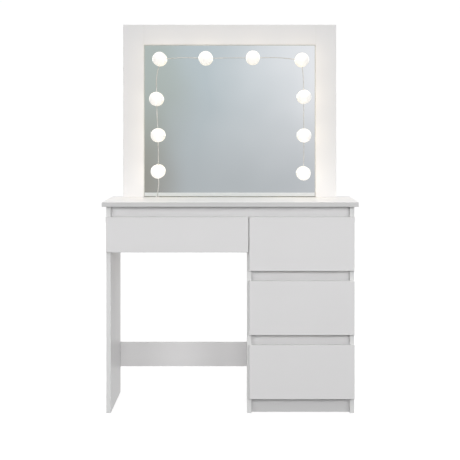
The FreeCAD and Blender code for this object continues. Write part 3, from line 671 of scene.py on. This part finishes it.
def base_shape():
    """A low round cup with a fluted rim, a rolled lip and a step down to the globe's neck."""
    profile = [
        (0.5 * MM, BASE_FOOT),
        (BASE_RADIUS - 1 * MM, BASE_FOOT),
        (BASE_RADIUS - 0.3 * MM, BASE_FOOT + 0.3 * MM),
        (BASE_RADIUS, BASE_FOOT + 1 * MM),
        (BASE_RADIUS, 2.2 * MM),
        (BASE_RADIUS, 2.6 * MM),
        (BASE_RADIUS, 6.8 * MM),
        (BASE_RADIUS, 7.2 * MM),
        (BASE_RADIUS - 0.25 * MM, 8.1 * MM),
        (BASE_RADIUS - 0.8 * MM, 8.7 * MM),
        (BASE_RADIUS - 1.5 * MM, BASE_HEAD),
        (NECK_RADIUS + 0.7 * MM, BASE_HEAD),
        (NECK_RADIUS + 0.35 * MM, BASE_HEAD - 0.3 * MM),
        (NECK_RADIUS + 0.3 * MM, 6 * MM),
        (0.5 * MM, 6 * MM),
    ]
    return turned(profile, BASE_SIDES, flutes)


def inlet_shape(direction):
    """A short tapered collar on a base's rim, where the wire goes in. Direction is (x, z)."""
    profile = [
        (2.3 * MM, 0.0),
        (2.3 * MM, 0.8 * MM),
        (1.9 * MM, 2.0 * MM),
        (1.55 * MM, INLET_LENGTH),
        (1.3 * MM, INLET_LENGTH + 0.1 * MM),
    ]
    heading = Vector((direction[0], 0, direction[1])).normalized()
    turn = Vector((0, 0, 1)).rotation_difference(heading).to_matrix().to_4x4()
    start = heading * (BASE_RADIUS - 0.9 * MM) + Vector((0, -INLET_LEVEL, 0))
    return moved(turned(profile, 20), Matrix.Translation(start) @ turn)


globe_parts = [moved(globe_shape(), Matrix.Translation(place) @ TO_FRONT) for place in lights]
globes = mesh_piece("globe_shells", joined(globe_parts), GLOW, "carcass")
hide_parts("light_globes")
globes.visible_shadow = False

base_parts = []
for i, place in enumerate(lights):
    base_parts.append(moved(base_shape(), Matrix.Translation(place) @ TO_FRONT))
    neighbours = [lights[j] for j in (i - 1, i + 1) if 0 <= j < len(lights)]
    # the supply lead leaves the last light downwards
    if i == len(lights) - 1:
        neighbours.append(Vector(LEAD_ROUTE[0]) - Vector((0, 0, 10 * MM)))
    for other in neighbours:
        collar = inlet_shape((other.x - place.x, other.z - place.z))
        base_parts.append(moved(collar, Matrix.Translation(place)))
bases = mesh_piece("light_base_shells", joined(base_parts), BASE_PLASTIC, "carcass")
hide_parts("light_bases")

# ---------------------------------------------------------------- lead and plug

plug_low, plug_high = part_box("usb_plug")
GRIP_LENGTH = 24 * MM
SHELL_SIZE = (12 * MM, 4.5 * MM)
SHELL_WALL = 0.35 * MM
SHELL_ROUNDING = 0.6 * MM
# Distance before the grip and width, in millimetres, of the sleeve round the lead.
SLEEVE = ((7.0, 3.0), (6.8, 3.4), (4.0, 4.0), (0.8, 5.2))
GRIP_STEPS = 40
GRIP_ROUNDING = 1.6 * MM
GRIP_WAIST = 0.5 * MM
RIB_COUNT = 9
RIB_DEPTH = 0.35 * MM
plug_axis = ((plug_low.y + plug_high.y) / 2, (plug_low.z + plug_high.z) / 2)
plug_width = plug_high.y - plug_low.y
plug_height = plug_high.z - plug_low.z
grip_end = plug_low.x + GRIP_LENGTH


def plug_grip_shape():
    """The moulded grip, with ribs across it and a tapered sleeve round the lead."""
    sections = []
    for back, size in SLEEVE:
        place = plug_low.x - back * MM
        sections.append(rounded_rectangle(size * MM, size * MM, size * 0.49 * MM, place, plug_axis))
    for i in range(GRIP_STEPS + 1):
        along = i / GRIP_STEPS
        place = plug_low.x + along * GRIP_LENGTH
        end_round = 1.2 * MM * (max(0, 1 - along * 14) ** 2 + max(0, 1 - (1 - along) * 14) ** 2)
        rib = 0
        if 0.12 < along < 0.66:
            rib = RIB_DEPTH * (0.5 - 0.5 * math.cos(along * TURN * RIB_COUNT))
        waist = GRIP_WAIST * math.sin(math.pi * along)
        shrink = 2 * (end_round + rib)
        width = plug_width - shrink - waist
        height = plug_height - shrink
        sections.append(rounded_rectangle(width, height, GRIP_ROUNDING, place, plug_axis))
    return loft(sections)


def plug_shell_shape():
    """A folded steel shell, open at its end, with the tongue's face inside."""
    outer = [(grip_end - 1 * MM, 0), (plug_high.x - 0.3 * MM, 0), (plug_high.x, 0.15 * MM)]
    inner = [(plug_high.x, SHELL_WALL), (plug_high.x - 7 * MM, SHELL_WALL)]
    sections = []
    for place, inset in outer + inner:
        width = SHELL_SIZE[0] - 2 * inset
        height = SHELL_SIZE[1] - 2 * inset
        sections.append(rounded_rectangle(width, height, SHELL_ROUNDING, place, plug_axis))
    return loft(sections)


plug_grip = mesh_piece("plug_grip", plug_grip_shape(), PLUG_PLASTIC, "carcass")
plug_shell = mesh_piece("plug_shell", plug_shell_shape(), SHEET, "carcass")
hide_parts("usb_plug")

usb_cord.data.materials.append(SHEATH)
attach(usb_cord, "carcass")
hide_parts("usb_lead", "usb_lead_coil", "usb_lead_tail")

# ---------------------------------------------------------------- cam locks and screws

CAM_SLOT_REACH = 3.4 * MM
CAM_SLOT_WIDTH = 1.5 * MM
CAM_SLOT_DEPTH = 1.6 * MM
CAM_SIDES = 40


def cam_shape(low, high):
    """A cam lock: a bevelled disc, with a cross slot in each of its two faces."""
    size = high - low
    thin = min(range(3), key=lambda axis: size[axis])
    radius = (sum(size) - size[thin]) / 4
    half = size[thin] / 2
    profile = [
        (radius, 0.0),
        (radius, half - 0.5 * MM),
        (radius - 0.5 * MM, half),
        (radius - 1.5 * MM, half),
        (radius - 1.7 * MM, half - 0.3 * MM),
        (radius - 2.2 * MM, half - 0.3 * MM),
        (radius - 2.4 * MM, half),
    ]
    face = recessed_disc(profile, CAM_SIDES, CAM_SLOT_REACH, CAM_SLOT_WIDTH, CAM_SLOT_DEPTH)
    axis = Vector([float(i == thin) for i in range(3)])
    upright = Vector((0, 0, 1))
    middle = Matrix.Translation((low + high) / 2)
    halves = []
    for heading in (axis, -axis):
        turn = upright.rotation_difference(heading).to_matrix().to_4x4()
        halves.append(moved(face, middle @ turn))
    return joined(halves)


def cam_piece(node, body):
    """Detailed discs in place of all the cam locks in a CAD node."""
    shapes = [cam_shape(low, high) for low, high in solids_of(node)]
    piece = mesh_piece(f"{node}_discs", joined(shapes), CASTING, body)
    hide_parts(node)


DRAWERS = ("kneehole_drawer", "upper_drawer", "middle_drawer", "lower_drawer")
cam_piece("cam_locks", "carcass")
for drawer in DRAWERS:
    cam_piece(f"{drawer}_cam_locks", drawer)


def screw_head_profile(radius, height):
    """A pan head: an upright rim that rolls over into a flat top."""
    rim = [(radius, 0.0), (radius, height * 0.45)]
    return rim + arc((radius - height * 0.55, height * 0.45), height * 0.55, 15, 90, 5)


# Radius and height of the head, radius and length of the shank.
BRACKET_SCREW = (3.6 * MM, 1.8 * MM, 1.7 * MM, 11 * MM)
RUNNER_SCREW = (3.2 * MM, 1.1 * MM, 1.6 * MM, 0.9 * MM)
THREAD_TURNS = 9
THREAD_ROOT = 0.78
SCREW_TIP = 0.8 * MM
LONG_SHANK = 5 * MM


def screw_shape(radius, height, shank_radius, shank_length):
    """A screw that points down, with its head on the level 0. A long one has a point."""
    profile = screw_head_profile(radius, height)
    head = recessed_disc(profile, 32, radius * 0.5, radius * 0.16, height * 0.6)
    thread = []
    for i in range(2 * THREAD_TURNS + 1):
        crest = shank_radius if i % 2 == 0 else shank_radius * THREAD_ROOT
        thread.append((crest, -shank_length * (1 - i / (2 * THREAD_TURNS))))
    tip = [(0.2 * MM, -shank_length - SCREW_TIP)] if shank_length > LONG_SHANK else []
    return joined([head, turned(tip + thread, 16)])


bracket_screw_parts = []
for low, high in solids_of("bracket_screws"):
    size = high - low
    long_axis = max(range(3), key=lambda axis: size[axis])
    heading = Vector([float(i == long_axis) for i in range(3)])
    seat = (low + high) / 2
    seat[long_axis] = high[long_axis] - BRACKET_SCREW[1]
    turn = Vector((0, 0, 1)).rotation_difference(heading).to_matrix().to_4x4()
    shape = screw_shape(*BRACKET_SCREW)
    bracket_screw_parts.append(moved(shape, Matrix.Translation(seat) @ turn))
all_bracket_screws = joined(bracket_screw_parts)
bracket_screws = mesh_piece("bracket_screw_set", all_bracket_screws, CASTING, "carcass")
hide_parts("bracket_screws")

RUNNER_SHEET = 1.2 * MM
RUNNER_SCREW_PLACES = (0.12, 0.45, 0.85)


def runner_screws(node, body):
    """Screw heads inside a drawer's two channels, on the web that is fixed to the drawer's side."""
    channels = solids_of(node)
    middle_x = sum(low.x + high.x for low, high in channels) / (2 * len(channels))
    shapes = []
    for low, high in channels:
        on_left = (low.x + high.x) / 2 < middle_x
        x = high.x - RUNNER_SHEET if on_left else low.x + RUNNER_SHEET
        heading = Vector((-1.0 if on_left else 1.0, 0, 0))
        turn = Vector((0, 0, 1)).rotation_difference(heading).to_matrix().to_4x4()
        for share in RUNNER_SCREW_PLACES:
            seat = Vector((x, low.y + share * (high.y - low.y), (low.z + high.z) / 2))
            shapes.append(moved(screw_shape(*RUNNER_SCREW), Matrix.Translation(seat) @ turn))
    mesh_piece(f"{node}_screws", joined(shapes), CASTING, body)


for drawer in DRAWERS:
    runner_screws(f"{drawer}_runners", drawer)

# ---------------------------------------------------------------- studio

FLOOR_RADIUS = 9.0
FLOOR_SIDES = 96
BACKDROP_RADIUS = 40.0
ROOM_RADIUS = 14.0
DOME_SIDES = 48
CARD_PLACE = (-0.06, -6.8, 1.08)
CARD_SIZE = (3.4, 2.8)
BLACK = (0.0, 0.0, 0.0)
FULL_WHITE = (1.0, 1.0, 1.0)


def dome(radius):
    """A ball round the origin, with a small flat face at each pole."""
    return turned(arc((0, 0), radius, -89, 89, 24), DOME_SIDES)


def stage_mesh(name, points, faces, material):
    """A piece of the studio, which isn't part of the object."""
    mesh = bpy.data.meshes.new(name)
    mesh.from_pydata(points, [], faces)
    mesh.materials.append(material)
    thing = bpy.data.objects.new(name, mesh)
    bpy.context.collection.objects.link(thing)
    return thing


def camera_only(thing):
    """Seen by the camera alone, so that it neither lights the object nor shows in the mirror."""
    thing.visible_diffuse = False
    thing.visible_glossy = False
    thing.visible_transmission = False
    thing.visible_shadow = False


floor_finish = Finish("floor", Roughness=0.7, Specular_IOR_Level=0.2)
floor_finish.set("Base Color", (0.32, 0.32, 0.32))
floor_finish.set("Emission Color", FULL_WHITE)
floor_finish.set("Emission Strength", 0.78)
rim = []
for i in range(FLOOR_SIDES):
    angle = TURN * i / FLOOR_SIDES
    rim.append((FLOOR_RADIUS * math.cos(angle), FLOOR_RADIUS * math.sin(angle), 0))
floor = stage_mesh("floor", rim, [tuple(range(FLOOR_SIDES))], floor_finish.material)
floor.visible_diffuse = False
floor.visible_glossy = False

backdrop_finish = Finish("backdrop", Roughness=1.0, Specular_IOR_Level=0.0)
backdrop_finish.set("Base Color", BLACK)
backdrop_finish.set("Emission Color", FULL_WHITE)
backdrop_finish.set("Emission Strength", 1.02)
backdrop = stage_mesh("backdrop", *dome(BACKDROP_RADIUS), backdrop_finish.material)
camera_only(backdrop)

# A soft grey room that only shows in reflections: dimmer in front, brighter behind and above.
room_finish = Finish("room", Roughness=1.0, Specular_IOR_Level=0.0)
room_finish.set("Base Color", BLACK)
_, room_y, room_z = room_finish.axes()
to_rear = room_finish.ranged(room_y, -0.1 * ROOM_RADIUS, 0.3 * ROOM_RADIUS)
to_top = room_finish.ranged(room_z, 0.25 * ROOM_RADIUS, 0.8 * ROOM_RADIUS)
walls = room_finish.mix(to_rear, (0.50, 0.535, 0.55), (0.84, 0.84, 0.84))
room_finish.set("Emission Color", room_finish.mix(to_top, walls, FULL_WHITE))
room_finish.set("Emission Strength", 1.0)
room = stage_mesh("room", *dome(ROOM_RADIUS), room_finish.material)
room.visible_camera = False
room.visible_diffuse = False
room.visible_transmission = False
room.visible_shadow = False

# A large grey-blue card behind the camera, which the mirror reflects.
card_finish = Finish("card", Roughness=1.0, Specular_IOR_Level=0.0)
card_finish.set("Base Color", BLACK)
card_x, _, card_z = card_finish.axes()
wander = card_finish.ranged(card_finish.noise(1.1, 2.0), 0.3, 0.7, -0.06, 0.06)
across = card_finish.math("ADD", card_finish.ranged(card_x, -0.80, 0.74, smooth=False), wander)
up = card_finish.math("ADD", card_finish.ranged(card_z, -0.70, 0.50), wander)
on_left = card_finish.ranged(across, 0.02, 0.36)
on_right = card_finish.ranged(across, 0.36, 1.0, smooth=False)
lower = card_finish.mix(on_left, (0.340, 0.322, 0.290), (0.470, 0.493, 0.515))
lower = card_finish.mix(on_right, lower, (0.545, 0.557, 0.585))
upper = card_finish.mix(on_left, (0.480, 0.530, 0.515), (0.535, 0.592, 0.628))
upper = card_finish.mix(on_right, upper, (0.875, 0.87, 0.905))
card_finish.set("Emission Color", card_finish.mix(up, lower, upper))
card_finish.set("Emission Strength", 1.0)
half_width, half_height = CARD_SIZE[0] / 2, CARD_SIZE[1] / 2
card_corners = [(-half_width, 0, -half_height), (half_width, 0, -half_height)]
card_corners += [(half_width, 0, half_height), (-half_width, 0, half_height)]
card = stage_mesh("mirror_card", card_corners, [(0, 1, 2, 3)], card_finish.material)
card.location = CARD_PLACE
card.visible_camera = False
card.visible_diffuse = False
card.visible_shadow = False

SOFTBOX_TARGET = (0.0, 0.0, 0.6)


def softbox(name, place, size, power):
    """A rectangular light that faces the middle of the table."""
    light = bpy.data.lights.new(name, "AREA")
    light.shape = "RECTANGLE"
    light.size, light.size_y = size
    light.energy = power
    lamp = bpy.data.objects.new(name, light)
    lamp.location = place
    heading = Vector(SOFTBOX_TARGET) - Vector(place)
    lamp.rotation_euler = heading.to_track_quat("-Z", "Y").to_euler()
    bpy.context.collection.objects.link(lamp)
    return lamp


softbox("left_softbox", (-2.3, -4.4, 1.65), (1.8, 1.6), 49)
softbox("right_softbox", (2.3, -4.4, 1.65), (1.8, 1.6), 53)
softbox("front_softbox", (0.0, -4.9, 1.5), (1.8, 1.2), 60).visible_glossy = False

# A small warm lamp inside each globe lights the frame and the tabletop beside it.
BULB_POWER = 0.14
BULB_COLOUR = (1.0, 0.80, 0.50)
BULB_RADIUS = GLOBE_RADIUS * 0.8
for place in lights:
    bulb = bpy.data.lights.new("bulb", "POINT")
    bulb.energy = BULB_POWER
    bulb.color = BULB_COLOUR
    bulb.shadow_soft_size = BULB_RADIUS
    lamp = bpy.data.objects.new("bulb", bulb)
    lamp.location = place - Vector((0, GLOBE_LEVEL, 0))
    lamp.visible_camera = False
    bpy.context.collection.objects.link(lamp)

# The sky's light: dim in front, brighter at the rear and above.
FRONT_SKY = 0.13
REAR_SKY = 0.75
TOP_SKY = 1.55
world = bpy.data.worlds.new("studio")
bpy.context.scene.world = world
world.use_nodes = True
sky = world.node_tree
sky.nodes.clear()
direction = sky.nodes.new("ShaderNodeTexCoord").outputs["Generated"]
split = sky.nodes.new("ShaderNodeSeparateXYZ")
sky.links.new(direction, split.inputs[0])


def sky_share(axis, low, high):
    """From 0 to 1 while the direction's share along an axis goes from low to high."""
    share = sky.nodes.new("ShaderNodeMapRange")
    share.inputs["From Min"].default_value = low
    share.inputs["From Max"].default_value = high
    sky.links.new(split.outputs[axis], share.inputs["Value"])
    return share.outputs["Result"]


def sky_mix(share, first, second):
    """One of two greys, or of a grey and a node's output, by a share from 0 to 1."""
    blend = sky.nodes.new("ShaderNodeMix")
    blend.data_type = "RGBA"
    start, end = [socket for socket in blend.inputs if socket.type == "RGBA"]
    if isinstance(first, bpy.types.NodeSocket):
        sky.links.new(first, start)
    else:
        start.default_value = (first, first, first, 1)
    end.default_value = (second, second, second, 1)
    sky.links.new(share, blend.inputs["Factor"])
    return next(socket for socket in blend.outputs if socket.type == "RGBA")


level = sky_mix(sky_share("Y", -0.1, 0.3), FRONT_SKY, REAR_SKY)
level = sky_mix(sky_share("Z", 0.5, 0.85), level, TOP_SKY)
background = sky.nodes.new("ShaderNodeBackground")
sky.links.new(level, background.inputs["Color"])
background.inputs["Strength"].default_value = 1.0
sky_output = sky.nodes.new("ShaderNodeOutputWorld")
sky.links.new(background.outputs[0], sky_output.inputs[0])

bpy.context.scene.view_settings.view_transform = "Standard"

bpy.context.view_layer.update()
